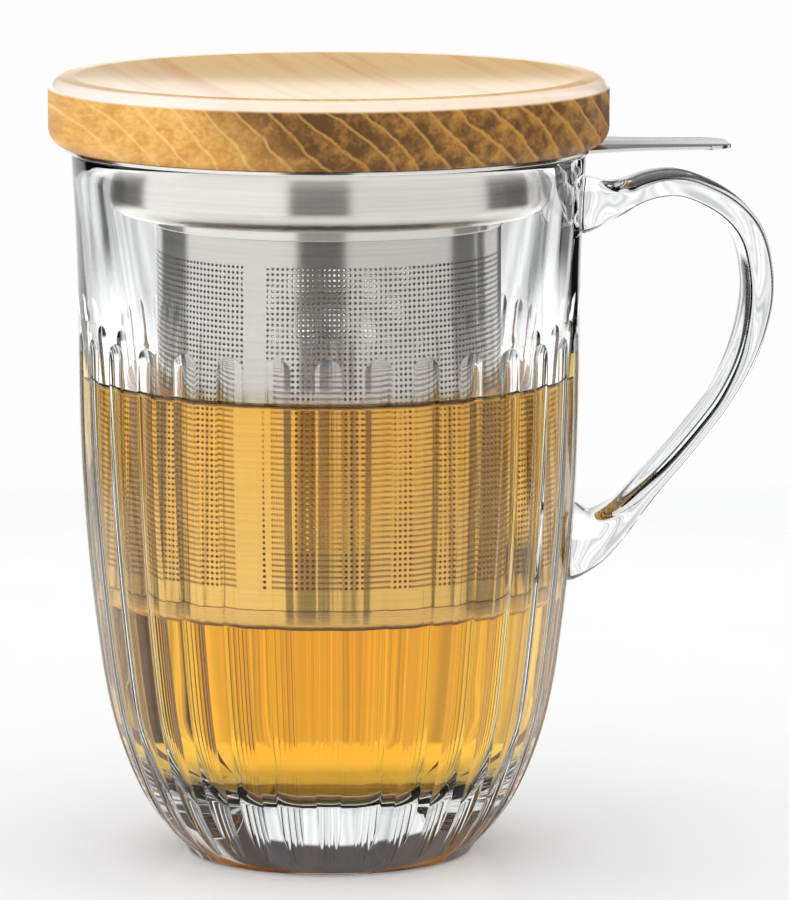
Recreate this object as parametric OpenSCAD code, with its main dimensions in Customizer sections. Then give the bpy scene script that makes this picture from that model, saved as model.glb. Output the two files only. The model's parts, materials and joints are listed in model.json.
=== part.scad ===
// Glass tea mug with a steel infuser basket and a turned wooden lid.
// +Z is up and +X points along the handle. The origin is on the mug's axis, at the foot.
// The lid sits on the infuser's flange, the flange sits on the glass rim,
// and the basket hangs from the flange inside the mug. All sizes are in millimetres.

/* [Glass body] */
// Height of the glass, from the foot to the rim
glass_h = 111.5; // [95:0.5:140]
// Outer radius where the wall stands upright
belly_r = 39.4; // [38:0.1:50]
// Height above which the wall is smooth and starts to flare
shoulder_z = 83.4; // [78:0.1:90]
// How far the rim flares out beyond the upright wall
rim_flare = 1.0; // [0:0.1:3]
// Wall thickness at the rim
rim_wall = 4.2; // [3:0.1:6]
// Thickness of the glass under the tea
base_thk = 12.8; // [8:0.1:16]
// Radius of the round bottom corner inside
bowl_corner_r = 17; // [8:0.5:22]
// Radius of the edge round at the rim
rim_round = 1.3; // [0.5:0.1:1.8]
// Depth of the hollow under the foot
punt_depth = 1.4; // [0.5:0.1:3]
// Width of the ring that the foot stands on
foot_ring_w = 4.0; // [2:0.1:8]

/* [Outside curve] */
// Height where the upright wall starts to curve in
belly_z = 76.8; // [70:0.1:78]
// Radius of the long side curve
side_arc = 319; // [200:1:900]
// Height where the side curve passes into the haunch
haunch_z = 28.1; // [20:0.1:34]
// Radius of the haunch
haunch_arc = 63.7; // [45:0.1:90]
// Height where the haunch passes into the foot curve
foot_curve_z = 11.5; // [8:0.1:16]
// Radius of the foot curve
foot_arc = 31; // [25:0.5:45]
// Edge round of the foot
foot_round = 1.2; // [0.5:0.1:2]

/* [Handle] */
// Width of the glass strap, across the handle's plane
strap_w = 13; // [9:0.5:18]
// Drop from the rim to the handle's highest point
handle_drop = 3.2; // [2:0.1:8]
// How far the root pads are wider than the strap
root_spread = 1.6; // [0:0.1:4]

/* [Infuser] */
// Sheet thickness of the collar and base
sheet = 0.6; // [0.4:0.05:1]
// Wall thickness of the perforated tube
tube_wall = 0.4; // [0.3:0.05:0.8]
// Outer radius of the perforated tube
tube_r = 27.3; // [22:0.1:28]
// Depth of the collar, from the flange's underside to the shoulder's underside
collar_depth = 9.5; // [8:0.1:14]
// Corner radius at the bottom of the collar's wall
collar_corner = 2.6; // [1:0.1:4]
// Height of the neck that holds the tube, below the shoulder
neck_h = 2.0; // [1:0.1:4]
// How far the flange stands out past the glass rim
flange_over = 1.0; // [0.5:0.1:2]
// Height of the base cup's wall
base_cup_h = 3.1; // [2:0.1:6]
// Height from the inside of the glass's floor to the underside of the basket
basket_floor_gap = 27.7; // [24:0.1:40]

/* [Lifting tab] */
// Reach of the tab's tip beyond the flange's edge
tab_reach = 21.5; // [12:0.5:30]
// Width of the tab at its tip
tab_w = 14; // [10:0.5:20]
// Width of the tab where it leaves the flange
tab_root_w = 25; // [20:0.5:34]
// Corner radius of the tab's tip
tab_corner = 4; // [1:0.5:5]

/* [Lid] */
// How far the lid stands out past the flange
lid_over = 2.5; // [0:0.1:6]
// Thickness of the lid's disc
lid_thk = 10.9; // [9:0.1:16]
// Radius of the lid's top edge
lid_top_round = 2.2; // [1:0.1:4]
// Height of the round under the lid's edge
lid_under_round_h = 3.5; // [2:0.1:5]
// Width of the round under the lid's edge
lid_under_round_w = 2.5; // [1:0.1:4]
// Depth of the shallow dish in the lid's top
dish_depth = 0.8; // [0:0.1:2]
// Length of the spigot that reaches into the collar
spigot_h = 7; // [5:0.1:8]
// Height of the silicone seal
seal_h = 3; // [2:0.1:4]
// How far the seal's lip stands out of the spigot
seal_lip = 0.9; // [0.3:0.1:1.2]
// Depth of the groove that holds the seal
seal_groove = 1.2; // [0.8:0.1:2]

/* [Clearances] */
// Radial gap between the collar and the mouth of the glass
collar_gap = 1.3; // [0.5:0.1:4]
// Radial gap between the basket's foot and the drafted inside of the glass
basket_gap = 1.38; // [0.8:0.02:4]
// Radial gap between the seal's lip and the collar
seal_gap = 0.3; // [0.1:0.05:0.5]
// Radial gap between the tube and what it is welded into
weld_gap = 0.03; // [0.01:0.01:0.1]

/* [Hidden] */
$fn = 96;
arc_steps = 14;

// ---- glass, worked out from the driving sizes ----
rim_r = belly_r + rim_flare;
flare_rise = glass_h - shoulder_z;
flare_arc = (flare_rise * flare_rise + rim_flare * rim_flare) / (2 * max(rim_flare, 0.01));
inside_rim_r = rim_r - rim_wall;

// The outside is three arcs that run into each other without a kink.
side_c = belly_r - side_arc;
haunch_x = side_c + sqrt(pow(side_arc, 2) - pow(belly_z - haunch_z, 2));
haunch_sin = (belly_z - haunch_z) / side_arc;
haunch_cx = haunch_x - haunch_arc * sqrt(1 - pow(haunch_sin, 2));
haunch_cz = haunch_z + haunch_arc * haunch_sin;
foot_sin = (haunch_cz - foot_curve_z) / haunch_arc;
foot_x = haunch_cx + haunch_arc * sqrt(1 - pow(foot_sin, 2));
foot_cx = foot_x - foot_arc * sqrt(1 - pow(foot_sin, 2));
foot_cz = foot_curve_z + foot_arc * foot_sin;

// Outer radius of the glass at a height
function glass_r(z) =
    z >= shoulder_z ? belly_r + flare_arc - sqrt(pow(flare_arc, 2) - pow(z - shoulder_z, 2)) :
    z >= belly_z ? belly_r :
    z >= haunch_z ? side_c + sqrt(pow(side_arc, 2) - pow(belly_z - z, 2)) :
    z >= foot_curve_z ? haunch_cx + sqrt(pow(haunch_arc, 2) - pow(haunch_cz - z, 2)) :
    foot_cx + sqrt(pow(foot_arc, 2) - pow(foot_cz - z, 2));

foot_r = glass_r(foot_round) - foot_round * 0.6;
punt_r = foot_r - foot_ring_w;

// Inside: a wall drafted from the mouth to just clear of the basket's foot, a round corner
// and a flat floor
base_out = tube_r + weld_gap + tube_wall;
base_z = base_thk + basket_floor_gap;
draft_tan = (inside_rim_r - base_out - basket_gap) / (glass_h - base_z);
inside_draft = atan(draft_tan);
bowl_cz = base_thk + bowl_corner_r;
bowl_wall_r = inside_rim_r - (glass_h - bowl_cz) * draft_tan;
bowl_cx = bowl_wall_r - bowl_corner_r / cos(inside_draft);

// Points of an arc round [cx, cz], from angle a to angle b
function arc(cx, cz, r, a, b, n = arc_steps) =
    [for (i = [0:n]) [cx + r * cos(a + (b - a) * i / n), cz + r * sin(a + (b - a) * i / n)]];

function outer_wall(z0, z1, n) = [for (i = [0:n]) let (z = z0 + (z1 - z0) * i / n) [glass_r(z), z]];

// ---- infuser ----
flange_z = glass_h;
flange_r = rim_r + flange_over;
collar_r = inside_rim_r - collar_gap;
shoulder_under = flange_z - collar_depth;
neck_in = tube_r + weld_gap;
neck_out = neck_in + sheet;
neck_z = shoulder_under - neck_h;
tube_z = base_z + sheet;
tube_top = shoulder_under + sheet;
// How far the tab's root reaches back over the flange
tab_root_lap = 1;

// ---- lid ----
lid_z = flange_z + sheet;
lid_r = flange_r + lid_over;
collar_in = collar_r - sheet;
spigot_r = collar_in - seal_gap - seal_lip;
seal_z = lid_z - spigot_h / 2 - seal_h / 2;
dish_r = lid_r - lid_top_round - 2;
dish_arc = (pow(dish_r, 2) + pow(dish_depth, 2)) / (2 * max(dish_depth, 0.01));

// ---- handle stations, from the upper root round to the lower root ----
// Each is [reach past the belly radius, height below the handle's top, thickness, tilt].
// The tilt turns the section from upright: 0 is upright, 90 lies along +X.
handle_top = glass_h - handle_drop;
stations = [
    [4.4, 5.3, 6.4, 0], [7.7, 4.1, 4.8, -21], [11.0, 2.9, 4.7, -14], [14.6, 2.5, 4.7, 2],
    [18.2, 3.4, 4.7, 19], [22.9, 6.0, 4.8, 39], [26.4, 10.0, 5.0, 63], [27.9, 15.5, 5.1, 82],
    [28.0, 21.5, 5.0, 98], [26.1, 29.0, 4.5, 113], [22.8, 35.5, 4.2, 122], [19.4, 40.2, 4.2, 127],
    [14.8, 45.8, 4.3, 130], [10.2, 50.9, 4.6, 131], [5.9, 55.9, 5.6, 143], [2.5, 58.9, 8.4, 168]
];
// Heights between which each root is fused to the glass
upper_root = [handle_top - 11.7, handle_top - 0.8];
lower_root = [handle_top - 67.4, handle_top - 51.8];
ring_sides = 20;
station_steps = 3;
corner_power = 0.62;

// Catmull-Rom curve through the stations
function station(i) = stations[min(max(i, 0), len(stations) - 1)];
function between(a, b, c, d, t) =
    0.5 * (2 * b + (c - a) * t + (2 * a - 5 * b + 4 * c - d) * t * t + (3 * b - a - 3 * c + d) * t * t * t);
handle_curve = [
    for (i = [0:len(stations) - 2]) for (j = [0:station_steps - 1])
        between(station(i - 1), station(i), station(i + 1), station(i + 2), j / station_steps),
    station(len(stations) - 1)
];

// A rounded box section: across runs over the strap's width, up over its thickness
function squash(v) = sign(v) * pow(abs(v), corner_power);
function across(k) = squash(cos(360 * k / ring_sides)) / 2;
function up(k) = squash(sin(360 * k / ring_sides)) / 2;

function strap_ring(s) = [
    for (k = [0:ring_sides - 1])
        [belly_r + s[0] + s[2] * up(k) * sin(s[3]),
         strap_w * across(k),
         handle_top - s[1] + s[2] * up(k) * cos(s[3])]
];
// A root ring lies on the outside of the glass
function root_ring(span, flip) = [
    for (k = [0:ring_sides - 1])
        let (z = (span[0] + span[1]) / 2 + flip * (span[1] - span[0]) * up(k))
        let (y = (strap_w + root_spread) * across(k))
        [sqrt(pow(glass_r(z), 2) - y * y), y, z]
];
function root_middle(span) = [glass_r((span[0] + span[1]) / 2), 0, (span[0] + span[1]) / 2];

module glass_body() {
    color([0.86, 0.92, 0.93, 0.45])
    rotate_extrude()
        polygon(concat(
            [[0, punt_depth], [punt_r - punt_depth, punt_depth], [punt_r, 0], [foot_r, 0]],
            outer_wall(foot_round, haunch_z, 16),
            outer_wall(haunch_z, belly_z, 12),
            outer_wall(shoulder_z, glass_h - rim_round, 8),
            arc(glass_r(glass_h) - rim_round, glass_h - rim_round, rim_round, 20, 90, 5),
            arc(inside_rim_r + rim_round, glass_h - rim_round, rim_round, 90, 180, 5),
            [[inside_rim_r - rim_round * draft_tan, glass_h - rim_round * 2]],
            arc(bowl_cx, bowl_cz, bowl_corner_r, -inside_draft, -90),
            [[0, base_thk]]
        ));
}

module handle() {
    rings = concat([root_ring(upper_root, 1)], [for (s = handle_curve) strap_ring(s)],
                   [root_ring(lower_root, -1)]);
    last = len(rings) - 1;
    points = concat([for (ring = rings) for (p = ring) p],
                    [root_middle(upper_root), root_middle(lower_root)]);
    first_cap = len(points) - 2;
    last_cap = len(points) - 1;
    faces = concat(
        [for (i = [0:last - 1]) for (k = [0:ring_sides - 1])
            let (n = (k + 1) % ring_sides)
            [i * ring_sides + k, i * ring_sides + n, (i + 1) * ring_sides + k]],
        [for (i = [0:last - 1]) for (k = [0:ring_sides - 1])
            let (n = (k + 1) % ring_sides)
            [i * ring_sides + n, (i + 1) * ring_sides + n, (i + 1) * ring_sides + k]],
        [for (k = [0:ring_sides - 1]) [first_cap, (k + 1) % ring_sides, k]],
        [for (k = [0:ring_sides - 1])
            [last_cap, last * ring_sides + k, last * ring_sides + (k + 1) % ring_sides]]
    );
    color([0.88, 0.93, 0.94, 0.5])
        polyhedron(points, faces);
}

// The collar is one drawing: flange, wall, shoulder and neck, with the tab left on the flange.
module infuser_collar() {
    corner_z = shoulder_under + sheet + collar_corner;
    color([0.74, 0.75, 0.76]) {
        rotate_extrude()
            polygon(concat(
                [[flange_r, flange_z], [flange_r, flange_z + sheet]],
                arc(collar_in + sheet, flange_z, sheet, 90, 180, 4),
                arc(collar_in - collar_corner, corner_z, collar_corner, 0, -90, 6),
                [[neck_in, shoulder_under + sheet], [neck_in, neck_z], [neck_out, neck_z],
                 [neck_out, shoulder_under]],
                arc(collar_in - collar_corner, corner_z, collar_corner + sheet, -90, 0, 6),
                [[collar_r, flange_z]]
            ));
        translate([0, 0, flange_z])
            linear_extrude(sheet)
                difference() {
                    tab_outline();
                    circle(r = flange_r - tab_root_lap);
                }
    }
}

// A tapered tongue with round corners, drawn from the middle of the flange outwards
module tab_outline() {
    tip = flange_r + tab_reach;
    root = flange_r - 2 * tab_root_lap;
    narrow = tab_w / 2;
    wide = tab_root_w / 2;
    neck = narrow + (wide - narrow) / 4;
    polygon([
        [root, -wide], [flange_r + tab_reach / 20, -wide + (wide - narrow) / 3],
        [flange_r + tab_reach / 3, -neck], [tip - tab_corner, -narrow],
        [tip - tab_corner, narrow], [flange_r + tab_reach / 3, neck],
        [flange_r + tab_reach / 20, wide - (wide - narrow) / 3], [root, wide]
    ]);
    for (side = [-1, 1])
        translate([tip - tab_corner, side * (narrow - tab_corner)])
            circle(r = tab_corner);
    translate([tip - tab_corner, tab_corner - narrow])
        square([tab_corner, tab_w - 2 * tab_corner]);
}

module basket_wall() {
    color([0.7, 0.71, 0.72])
    translate([0, 0, tube_z])
        difference() {
            cylinder(h = tube_top - tube_z, r = tube_r);
            translate([0, 0, -1])
                cylinder(h = tube_top - tube_z + 2, r = tube_r - tube_wall);
        }
}

// A shallow cup that closes the tube's lower end from outside
module basket_base() {
    color([0.74, 0.75, 0.76])
    translate([0, 0, base_z])
        difference() {
            cylinder(h = base_cup_h, r = base_out);
            translate([0, 0, sheet])
                cylinder(h = base_cup_h, r = tube_r + weld_gap);
        }
}

module lid() {
    top = lid_z + lid_thk;
    color([0.74, 0.5, 0.24])
    rotate_extrude()
        polygon(concat(
            [[0, lid_z - spigot_h], [spigot_r - 0.8, lid_z - spigot_h],
             [spigot_r, lid_z - spigot_h + 0.8], [spigot_r, seal_z],
             [spigot_r - seal_groove, seal_z], [spigot_r - seal_groove, seal_z + seal_h],
             [spigot_r, seal_z + seal_h], [spigot_r, lid_z]],
            [for (i = [0:8]) let (a = -90 + i * 90 / 8)
                [lid_r - lid_under_round_w + lid_under_round_w * cos(a),
                 lid_z + lid_under_round_h + lid_under_round_h * sin(a)]],
            arc(lid_r - lid_top_round, top - lid_top_round, lid_top_round, 0, 90, 8),
            [for (i = [0:10]) let (r = dish_r * (1 - i / 10))
                [r, top - dish_depth + dish_arc - sqrt(pow(dish_arc, 2) - r * r)]]
        ));
}

// The seal sits in the spigot's groove, and its round lip faces the collar.
module lid_seal() {
    inner = spigot_r - seal_groove;
    lip_half = seal_h / 2;
    color([0.9, 0.9, 0.88])
    rotate_extrude()
        polygon(concat(
            [[inner, seal_z], [spigot_r, seal_z]],
            [for (i = [1:7]) let (a = -90 + i * 180 / 8)
                [spigot_r + seal_lip * cos(a), seal_z + lip_half + lip_half * sin(a)]],
            [[spigot_r, seal_z + seal_h], [inner, seal_z + seal_h]]
        ));
}

glass_body();
handle();
infuser_collar();
basket_wall();
basket_base();
lid();
lid_seal();
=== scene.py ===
# %% [markdown]
# # A lidded tea mug with an infuser
#
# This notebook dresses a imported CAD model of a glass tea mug. The CAD says where everything is and
# how it moves. Blender adds what the eye looks for: the pressed flutes, twelve thousand holes in
# the basket, brushed steel, oiled wood, and tea that glows between them. Outlines are measured from
# the CAD frame, so that no piece has to be fitted to it by eye, and what the CAD leaves out is a
# named value. Sizes are in millimetres, and the helper that makes a mesh turns them into Blender's
# metres.

# %% Load the frame
import json
import math

import bmesh
import bpy
import numpy as np
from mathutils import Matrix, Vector
from mathutils.bvhtree import BVHTree

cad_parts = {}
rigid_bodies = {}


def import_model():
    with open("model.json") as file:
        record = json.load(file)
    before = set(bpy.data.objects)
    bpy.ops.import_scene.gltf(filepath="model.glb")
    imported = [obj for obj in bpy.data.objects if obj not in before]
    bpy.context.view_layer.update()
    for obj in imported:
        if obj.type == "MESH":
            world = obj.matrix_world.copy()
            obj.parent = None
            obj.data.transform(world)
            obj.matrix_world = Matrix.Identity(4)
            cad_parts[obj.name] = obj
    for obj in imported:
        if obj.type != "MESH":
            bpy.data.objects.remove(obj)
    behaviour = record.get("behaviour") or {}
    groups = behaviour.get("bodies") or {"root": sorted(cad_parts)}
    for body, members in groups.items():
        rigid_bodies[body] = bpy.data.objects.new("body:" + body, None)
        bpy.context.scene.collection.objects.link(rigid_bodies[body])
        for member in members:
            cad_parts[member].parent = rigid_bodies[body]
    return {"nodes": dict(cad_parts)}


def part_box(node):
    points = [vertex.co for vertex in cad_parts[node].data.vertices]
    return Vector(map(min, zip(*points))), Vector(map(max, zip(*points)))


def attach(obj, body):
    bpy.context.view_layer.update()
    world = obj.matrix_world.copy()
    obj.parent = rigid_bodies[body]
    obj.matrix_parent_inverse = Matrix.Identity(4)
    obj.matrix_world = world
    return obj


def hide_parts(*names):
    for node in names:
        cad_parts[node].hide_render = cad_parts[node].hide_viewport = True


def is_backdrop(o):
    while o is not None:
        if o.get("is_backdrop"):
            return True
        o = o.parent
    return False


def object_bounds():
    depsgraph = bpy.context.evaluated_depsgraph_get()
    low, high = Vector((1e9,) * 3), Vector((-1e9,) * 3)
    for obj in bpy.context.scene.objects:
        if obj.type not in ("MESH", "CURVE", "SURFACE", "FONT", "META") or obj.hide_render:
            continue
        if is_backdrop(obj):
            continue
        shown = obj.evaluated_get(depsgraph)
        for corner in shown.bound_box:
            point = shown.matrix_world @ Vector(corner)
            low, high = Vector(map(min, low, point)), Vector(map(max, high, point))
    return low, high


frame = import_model()
cad_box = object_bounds()
MM = 0.001
print("CAD nodes:", ", ".join(sorted(frame["nodes"])))

# %% [markdown]
# ## Measure the CAD
#
# Most pieces of this mug are turned, so one radius for each height describes them. A ray shot at a
# CAD node finds that radius, and works on any mesh. The rays run at an angle that misses the
# handle and the lifting tab.

# %% Rays that measure a turned node
CLEAR_ANGLE = math.radians(200)
FAR_OUT = 0.2
surfaces = {}


def reach(node, height, inside=False):
    """Radius in mm where a ray meets a turned node at a height, from far outside or from the axis."""
    if node not in surfaces:
        mesh = frame["nodes"][node].data
        corners = [v.co for v in mesh.vertices]
        surfaces[node] = BVHTree.FromPolygons(corners, [list(p.vertices) for p in mesh.polygons])
    out = Vector((math.cos(CLEAR_ANGLE), math.sin(CLEAR_ANGLE), 0))
    start = Vector((0, 0, height * MM)) + out * (0 if inside else FAR_OUT)
    hit = surfaces[node].ray_cast(start, out if inside else -out)[0]
    return math.hypot(hit.x, hit.y) / MM


def span(node):
    """Lowest and highest corner of a CAD node in mm."""
    low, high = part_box(node)
    return np.array(low) / MM, np.array(high) / MM


glass_top = span("glass_body")[1][2]
print("the glass is", round(glass_top, 1), "mm tall and", round(2 * reach("glass_body", 70), 1), "wide")

# %% [markdown]
# A ray gives one radius at a time. Between the measured heights the wall has to be smooth, because
# glass shows every kink in its surface as a band of light. A cubic Hermite curve through the
# measured radii has no kinks.

# %% A smooth curve through measured radii


def smooth_through(heights, radii):
    """A function of height that passes smoothly through the measured radii."""
    heights, radii = np.array(heights, float), np.array(radii, float)
    slopes = np.gradient(radii, heights)

    def radius(z):
        i = np.clip(np.searchsorted(heights, z) - 1, 0, len(heights) - 2)
        step = heights[i + 1] - heights[i]
        t = (z - heights[i]) / step
        near = (2 * t**3 - 3 * t**2 + 1) * radii[i] + (t**3 - 2 * t**2 + t) * step * slopes[i]
        far = (3 * t**2 - 2 * t**3) * radii[i + 1] + (t**3 - t**2) * step * slopes[i + 1]
        return near + far

    return radius


wall_heights = [1.3, 3, 5.5, 8, 11.5, 15, 19, 23.5, 28, 35, 45, 56, 67, 76.8, 83.4, 92, 101, 110]
outside = smooth_through(wall_heights, [reach("glass_body", z) for z in wall_heights])
print("outer radius at the foot, belly and rim:", [round(float(outside(z)), 2) for z in (3, 70, 109)])

# %% [markdown]
# ## Make meshes
#
# Every piece here is a skin over rings of points, like a stack of hoops. A turned piece has round
# hoops. The collar's hoops stretch out into the tab, and the glass has hoops that dip into the
# flutes. One function joins the hoops, and closes the skin either at two poles on the axis or by
# joining the last hoop to the first.

# %% Skin a stack of rings
CREASE = 35
TEXTURE_SIZE = 0.1


def mesh_object(name, points, faces, crease=CREASE):
    """A smooth-shaded object from points in mm. Edges sharper than crease degrees stay sharp."""
    mesh = bpy.data.meshes.new(name)
    mesh.from_pydata((np.asarray(points) * MM).tolist(), [], faces)
    mesh.update()
    made = bpy.data.objects.new(name, mesh)
    bpy.context.scene.collection.objects.link(made)
    finish_mesh(made, crease)
    return made


def finish_mesh(made, crease):
    """Faces outwards, smooth shading, and texture space centred on the mug's axis."""
    work = bmesh.new()
    work.from_mesh(made.data)
    bmesh.ops.recalc_face_normals(work, faces=work.faces)
    work.to_mesh(made.data)
    work.free()
    made.data.shade_smooth()
    made.data.set_sharp_from_angle(angle=math.radians(crease))
    made.data.use_auto_texspace = False
    made.data.texspace_location = (0, 0, TEXTURE_SIZE / 2)
    made.data.texspace_size = (TEXTURE_SIZE, TEXTURE_SIZE, TEXTURE_SIZE)


def skin(name, rings, poles=None, crease=CREASE):
    """Joins rings of equal length. Poles are two heights on the axis, or None for a closed loop."""
    rings = np.asarray(rings, float)
    count, sides = rings.shape[:2]
    index = np.arange(count * sides).reshape(count, sides)
    if poles is None:
        index = np.vstack([index, index[:1]])
    lower, upper = index[:-1], index[1:]
    quads = np.stack([lower, np.roll(lower, -1, 1), np.roll(upper, -1, 1), upper], -1)
    faces = quads.reshape(-1, 4).tolist()
    points = rings.reshape(-1, 3)
    if poles is not None:
        points = np.vstack([points, [[0, 0, poles[0]], [0, 0, poles[1]]]])
        first, last = count * sides, count * sides + 1
        for k in range(sides):
            n = (k + 1) % sides
            faces.append([first, int(index[0, n]), int(index[0, k])])
            faces.append([last, int(index[-1, k]), int(index[-1, n])])
    return mesh_object(name, points, faces, crease)


def circle(radius, height, angles):
    """Points of a round ring at a height."""
    return np.stack([radius * np.cos(angles), radius * np.sin(angles), 0 * angles + height], 1)


# %% [markdown]
# A turned outline is written as a few corners, each with its own rounding, the way a turner would
# sketch it. The helper swaps each corner for a small arc.

# %% Outlines with rounded corners


def rounded(corners, steps=6, closed=False):
    """Points of an outline. Each corner is (radius from the axis, height, rounding)."""
    path = []
    count = len(corners)
    for i, (r, z, rounding) in enumerate(corners):
        here = np.array([r, z])
        end = not closed and i in (0, count - 1)
        if rounding <= 0 or end:
            path.append(here)
            continue
        before = np.array(corners[i - 1][:2]) - here
        after = np.array(corners[(i + 1) % count][:2]) - here
        before_length, after_length = np.linalg.norm(before), np.linalg.norm(after)
        before, after = before / before_length, after / after_length
        half = math.acos(np.clip(before @ after, -1, 1)) / 2
        cut = min(rounding / math.tan(half), before_length * 0.49, after_length * 0.49)
        radius = cut * math.tan(half)
        middle = here + (before + after) / np.linalg.norm(before + after) * radius / math.sin(half)
        start, stop = here + before * cut - middle, here + after * cut - middle
        turn = math.pi - 2 * half
        for k in range(steps + 1):
            t = k / steps
            mix = math.sin((1 - t) * turn) * start + math.sin(t * turn) * stop
            path.append(middle + mix / math.sin(turn))
    return np.array(path)


def turned(name, outline, sides=192, poles=None, crease=CREASE):
    """A turned piece from an outline of radii and heights."""
    angles = np.arange(sides) / sides * 2 * math.pi
    rings = [circle(r, z, angles) for r, z in outline]
    return skin(name, rings, poles, crease)


# %% [markdown]
# ## Shader maths that reads like maths
#
# A material is a graph of nodes, but a graph written node by node hides its idea. The class below
# wraps one output of a node, so that a mask can be written as `1 - mask * 0.5`. Each operator adds
# its own Math node. Everything else comes from one method, `node`, which takes a node's type, its
# settings and the values or links of its sockets.

# %% Shader expressions


class Value:
    """One output of a node, which works in sums as a number does."""

    def __init__(self, graph, socket):
        self.graph, self.socket = graph, socket

    def _maths(self, operation, *terms):
        inputs = dict(enumerate(terms))
        return self.graph.node("ShaderNodeMath", {"operation": operation}, inputs)

    def __add__(self, other):
        return self._maths("ADD", self, other)

    def __sub__(self, other):
        return self._maths("SUBTRACT", self, other)

    def __rsub__(self, other):
        return self._maths("SUBTRACT", other, self)

    def __mul__(self, other):
        return self._maths("MULTIPLY", self, other)

    def __truediv__(self, other):
        return self._maths("DIVIDE", self, other)

    __radd__ = __add__
    __rmul__ = __mul__

    def clamped(self):
        return self.graph.node("ShaderNodeClamp", {}, {0: self})

    def ramp(self, low, high):
        """0 at low, 1 at high, and smooth between."""
        settings = {"interpolation_type": "SMOOTHSTEP"}
        return self.graph.node("ShaderNodeMapRange", settings, {0: self, 1: low, 2: high})


class Graph:
    """The node graph of a material or of the world."""

    def __init__(self, owner):
        owner.use_nodes = True
        self.tree = owner.node_tree
        self.tree.nodes.clear()

    def node(self, kind, settings=None, inputs=None, output=0):
        """Adds a node, sets it, fills or links its sockets, and gives back one of its outputs."""
        made = self.tree.nodes.new(kind)
        for key, value in (settings or {}).items():
            setattr(made, key, value)
        for key, value in (inputs or {}).items():
            socket = made.inputs[key]
            if isinstance(value, Value):
                self.tree.links.new(value.socket, socket)
            elif hasattr(value, "__len__") and len(value) == 3 and socket.type == "RGBA":
                socket.default_value = (*value, 1)
            else:
                socket.default_value = value
        return Value(self, made.outputs[output])

    def place(self, scale=(1, 1, 1), turn=(0, 0, 0)):
        """Points of the object in metres, stretched by scale after a turn in degrees."""
        points = self.node("ShaderNodeTexCoord", output="Object")
        turned_points = self.node(
            "ShaderNodeVectorRotate",
            {"rotation_type": "EULER_XYZ"},
            {"Vector": points, "Rotation": [math.radians(a) for a in turn]},
        )
        return self.node(
            "ShaderNodeVectorMath",
            {"operation": "MULTIPLY"},
            {0: turned_points, 1: scale},
        )

    def noise(self, points, scale, detail=2, roughness=0.5):
        """Soft noise from 0 to 1, with scale lumps in each unit of the points."""
        inputs = {"Vector": points, "Scale": scale, "Detail": detail, "Roughness": roughness}
        return self.node("ShaderNodeTexNoise", {}, inputs, "Fac")

    def mix(self, factor, low, high):
        """A colour that goes from low to high."""
        return self.node(
            "ShaderNodeMix", {"data_type": "RGBA"}, {0: factor, 6: low, 7: high}, output=2
        )

    def bump(self, height, depth):
        """A surface normal from a height between 0 and 1, where 1 stands depth metres high."""
        inputs = {"Height": height, "Distance": depth, "Strength": 1.0}
        return self.node("ShaderNodeBump", {}, inputs)

    def surface(self, inputs, volume=None):
        """A Principled surface, with an optional volume, as the material's output."""
        shader = self.node("ShaderNodeBsdfPrincipled", {}, inputs)
        ends = {"Surface": shader}
        if volume:
            ends["Volume"] = self.node("ShaderNodeVolumeAbsorption", {}, volume)
        made = self.tree.nodes.new("ShaderNodeOutputMaterial")
        for name, value in ends.items():
            self.tree.links.new(value.socket, made.inputs[name])


def material(name, build):
    """A material whose graph a function builds."""
    made = bpy.data.materials.new(name)
    build(Graph(made))
    return made


# %% [markdown]
# ## Set a piece in the frame
#
# Each finished piece needs three facts: what it is made of, the CAD body that carries it, and the
# CAD nodes that it stands for.

# %% Set a piece


def set_piece(piece, finish, body, slot, *stands_for):
    """Gives a piece its finish and its place in the frame, and prints its triangles."""
    piece.data.materials.clear()
    piece.data.materials.append(finish)
    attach(piece, body)
    if stands_for:
        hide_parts(*stands_for)
    count = sum(len(p.vertices) - 2 for p in piece.data.polygons)
    print(f"{piece.name}: {count} triangles on body {body}")
    return piece


# %% [markdown]
# ## The glass
#
# Pressed glass is clear, a little grey where it is thick, and never quite flat: the mould leaves a
# slow wave in the skin that makes reflections swim. A bump from a large, faint noise gives that
# wave. The grey comes from a Volume Absorption node, so that it grows with thickness.

# %% Glass finish
# depths of bumps are in metres, as shaders take them
WAVE_DEPTH = 0.00004


def clear_glass(graph):
    """Clear pressed glass with a slow wave in its skin."""
    wave = graph.noise(graph.place((1, 1, 0.4)), 90, 1)
    inputs = {"Base Color": (1, 1, 1), "Roughness": 0.0, "IOR": 1.5}
    inputs.update({"Transmission Weight": 1.0, "Specular Tint": (0.5, 0.5, 0.5)})
    inputs["Normal"] = graph.bump(wave, WAVE_DEPTH)
    graph.surface(inputs, {"Color": (0.80, 0.90, 0.92), "Density": 5.0})


glass_finish = material("clear_glass", clear_glass)

# %% [markdown]
# ### Flutes
#
# The outside has 32 flutes. A ball-nosed cutter in the mould made each one, so a flute's section is
# a shallow arc and its top is a round arch. Near the foot the cutter runs out, and the flute
# narrows to a point.
#
# A plain grid would cut those arches into steps. So the columns of the grid bend: they squeeze
# together where a flute narrows, and the flute's edge always runs along a column.

# %% Flute shape
FLUTES = 32
FLUTE_PITCH = 2 * math.pi / FLUTES
FLUTE_AZIMUTH = math.radians(-93.7)
FLUTE_TOP = 83.4
FLUTE_END = 2.0
FLUTE_FULL = 15.0
CUTTER_R = 4.05
FLUTE_DEPTH = 0.5
# a flute's columns keep at least this half width, also where the flute has ended
NARROWEST = 0.1
SLOPE_STEP = 0.2
full_half = math.sqrt(CUTTER_R**2 - (CUTTER_R - FLUTE_DEPTH) ** 2)
arch_z = FLUTE_TOP - full_half
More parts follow.
